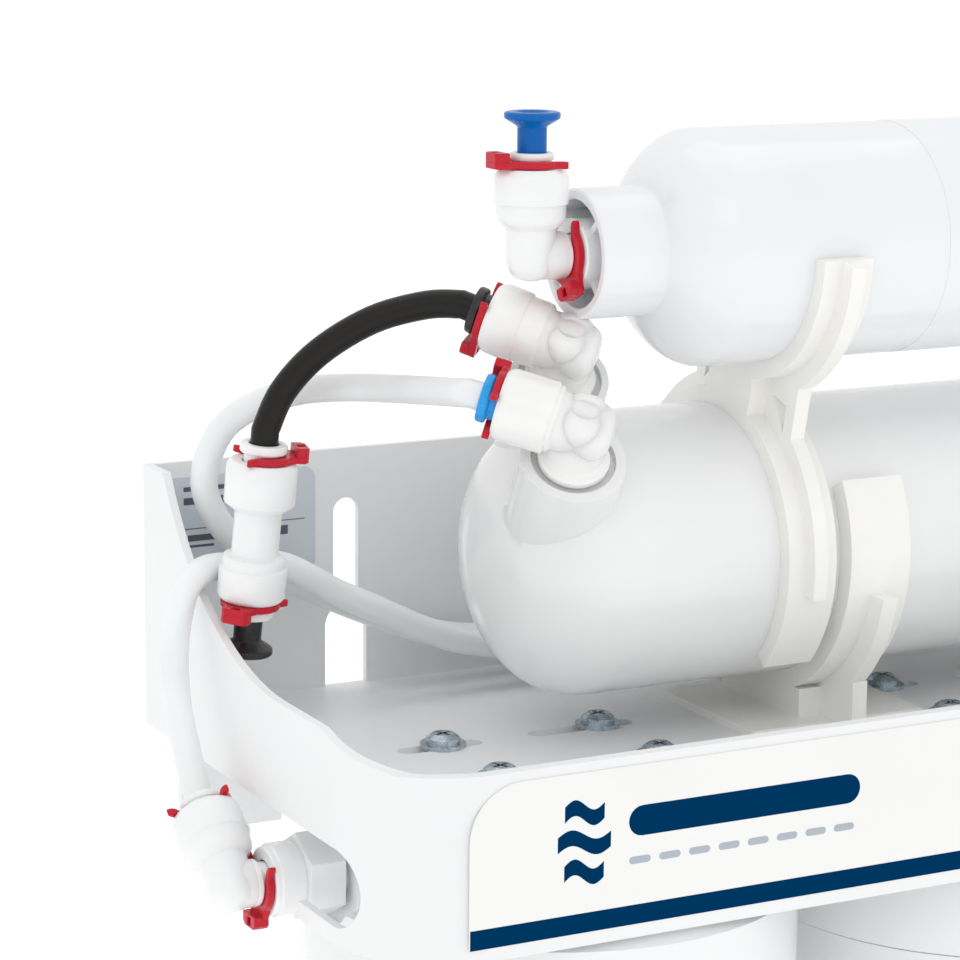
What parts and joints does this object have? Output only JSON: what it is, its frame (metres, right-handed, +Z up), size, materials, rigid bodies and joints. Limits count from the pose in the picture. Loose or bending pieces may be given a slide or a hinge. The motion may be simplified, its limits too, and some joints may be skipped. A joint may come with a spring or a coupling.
{
  "type": "reverse osmosis water filter unit",
  "caption": "Under-sink reverse osmosis unit: upright filter housings hang from a folded bracket that also carries a membrane vessel, a small post filter, tubing and push-in fittings.",
  "frame": {"origin": "middle of the footprint, at the foot of the bowls", "axes": "+X along the row of housings to the feed inlet, +Y to the wall behind, +Z up"},
  "size_m": [0.4127, 0.131, 0.4453],
  "materials": {
    "powder_coat": "satin powder coat",
    "housing_white": "gloss",
    "fitting_white": "gloss",
    "vessel_white": "gloss",
    "shell_white": "gloss",
    "clip_ivory": "satin",
    "clip_red": "gloss",
    "plug_blue": "gloss",
    "collet_sky": "gloss",
    "plastic_black": "gloss",
    "tube_white": "soft gloss",
    "tube_black": "satin",
    "seal_rubber": "matt",
    "zinc": "bright zinc",
    "label_film": "satin film",
    "label_silver": "satin film",
    "carbon": "matt",
    "cartridge_fibre": "matt fibre",
    "element_wrap": "satin tape"
  },
  "bodies": {
    "frame": {"bracket": "powder_coat", "head_left": "housing_white", "head_middle": "housing_white", "head_right": "housing_white", "head_screws": "zinc", "link_nipples": "fitting_white", "outlet_adapter": "fitting_white", "outlet_elbow": "fitting_white", "feed_adapter": "fitting_white", "membrane_vessel": "vessel_white", "membrane_cap": "vessel_white", "cap_seal": "seal_rubber", "membrane_element": "element_wrap", "drain_elbow": "fitting_white", "permeate_elbow": "fitting_white", "cap_elbow": "fitting_white", "post_filter_body": "shell_white", "post_filter_carbon": "carbon", "tank_tee": "fitting_white", "restrictor_union": "fitting_white", "valve_body": "fitting_white", "valve_cover": "fitting_white", "valve_diaphragm": "seal_rubber", "valve_screws": "zinc", "base_clip_left": "clip_ivory", "base_clip_right": "clip_ivory", "double_clip_left": "clip_ivory", "double_clip_right": "clip_ivory", "collets_white": "fitting_white", "collet_black": "plastic_black", "collet_blue": "collet_sky", "drain_tube": "tube_black", "permeate_tube": "tube_white", "prefiltered_tube": "tube_white", "vessel_feed_tube": "tube_white", "product_tube": "tube_white", "front_label": "label_film", "rating_label": "label_silver"},
    "cartridge_left": {"carbon_block_cartridge": "cartridge_fibre"},
    "bowl_left": {"bowl_left": "housing_white", "bowl_seal_left": "seal_rubber"},
    "cartridge_middle": {"granular_carbon_cartridge": "housing_white"},
    "bowl_middle": {"bowl_middle": "housing_white", "bowl_seal_middle": "seal_rubber"},
    "cartridge_right": {"sediment_cartridge": "cartridge_fibre"},
    "bowl_right": {"bowl_right": "housing_white", "bowl_seal_right": "seal_rubber"},
    "faucet_swivel": {"faucet_elbow": "fitting_white", "faucet_collet": "fitting_white"},
    "faucet_plug_body": {"faucet_plug": "plug_blue"},
    "drain_plug_body": {"drain_plug": "plastic_black"},
    "tank_plug_body": {"tank_plug": "fitting_white"},
    "clip_faucet_body": {"clip_faucet": "clip_red"},
    "clip_post_filter_body": {"clip_post_filter": "clip_red"},
    "clip_drain_body": {"clip_drain": "clip_red"},
    "clip_permeate_body": {"clip_permeate": "clip_red"},
    "clip_union_top_body": {"clip_union_top": "clip_red"},
    "clip_union_bottom_body": {"clip_union_bottom": "clip_red"},
    "clip_outlet_elbow_body": {"clip_outlet_elbow": "clip_red"},
    "clip_outlet_port_body": {"clip_outlet_port": "clip_red"}
  },
  "joints": [
    {"name": "bowl_left_drop", "type": "slide", "parent": "frame", "child": "cartridge_left", "axis": [0, 0, -1], "range_m": [0, 0.015]},
    {"name": "bowl_left_turn", "type": "hinge", "parent": "cartridge_left", "child": "bowl_left", "pos_m": [-0.11795, -0.009, 0.24], "axis": [0, 0, -1], "range_deg": [0, 901]},
    {"name": "bowl_middle_drop", "type": "slide", "parent": "frame", "child": "cartridge_middle", "axis": [0, 0, -1], "range_m": [0, 0.015]},
    {"name": "bowl_middle_turn", "type": "hinge", "parent": "cartridge_middle", "child": "bowl_middle", "pos_m": [0.00205, -0.009, 0.24], "axis": [0, 0, -1], "range_deg": [0, 901]},
    {"name": "bowl_right_drop", "type": "slide", "parent": "frame", "child": "cartridge_right", "axis": [0, 0, -1], "range_m": [0, 0.015]},
    {"name": "bowl_right_turn", "type": "hinge", "parent": "cartridge_right", "child": "bowl_right", "pos_m": [0.12205, -0.009, 0.24], "axis": [0, 0, -1], "range_deg": [0, 901]},
    {"name": "faucet_elbow_swivel", "type": "hinge", "parent": "frame", "child": "faucet_swivel", "pos_m": [-0.12445, -0.0159, 0.4136], "axis": [1, 0, 0], "range_deg": [-45, 90]},
    {"name": "faucet_plug_pull", "type": "slide", "parent": "faucet_swivel", "child": "faucet_plug_body", "axis": [0, 0, 1], "range_m": [0, 0.02]},
    {"name": "drain_plug_pull", "type": "slide", "parent": "frame", "child": "drain_plug_body", "axis": [-0.0593, 0.0905, -0.9941], "range_m": [0, 0.01]},
    {"name": "tank_plug_pull", "type": "slide", "parent": "frame", "child": "tank_plug_body", "axis": [0, -0.866, 0.5], "range_m": [0, 0.02]},
    {"name": "clip_faucet_slide", "type": "slide", "parent": "faucet_swivel", "child": "clip_faucet_body", "axis": [-1, 0, 0], "range_m": [0, 0.01]},
    {"name": "clip_post_filter_slide", "type": "slide", "parent": "frame", "child": "clip_post_filter_body", "axis": [0, -0.454, -0.891], "range_m": [0, 0.006]},
    {"name": "clip_drain_slide", "type": "slide", "parent": "frame", "child": "clip_drain_body", "axis": [-0.1282, 0.3572, -0.9252], "range_m": [0, 0.01]},
    {"name": "clip_permeate_slide", "type": "slide", "parent": "frame", "child": "clip_permeate_body", "axis": [0.577, 0.537, 0.6154], "range_m": [0, 0.004]},
    {"name": "clip_union_top_slide", "type": "slide", "parent": "frame", "child": "clip_union_top_body", "axis": [0.9831, -0.1676, -0.0739], "range_m": [0, 0.01]},
    {"name": "clip_union_bottom_slide", "type": "slide", "parent": "frame", "child": "clip_union_bottom_body", "axis": [-0.7059, -0.708, -0.0223], "range_m": [0, 0.01]},
    {"name": "clip_outlet_elbow_slide", "type": "slide", "parent": "frame", "child": "clip_outlet_elbow_body", "axis": [0.5, 0.5567, -0.6634], "range_m": [0, 0.01]},
    {"name": "clip_outlet_port_slide", "type": "slide", "parent": "frame", "child": "clip_outlet_port_body", "axis": [0, 0, -1], "range_m": [0, 0.01]}
  ],
  "couplings": [
    {"joint": "bowl_left_turn", "follows": "bowl_left_drop", "rad_per_m": 1047.2},
    {"joint": "bowl_middle_turn", "follows": "bowl_middle_drop", "rad_per_m": 1047.2},
    {"joint": "bowl_right_turn", "follows": "bowl_right_drop", "rad_per_m": 1047.2}
  ]
}
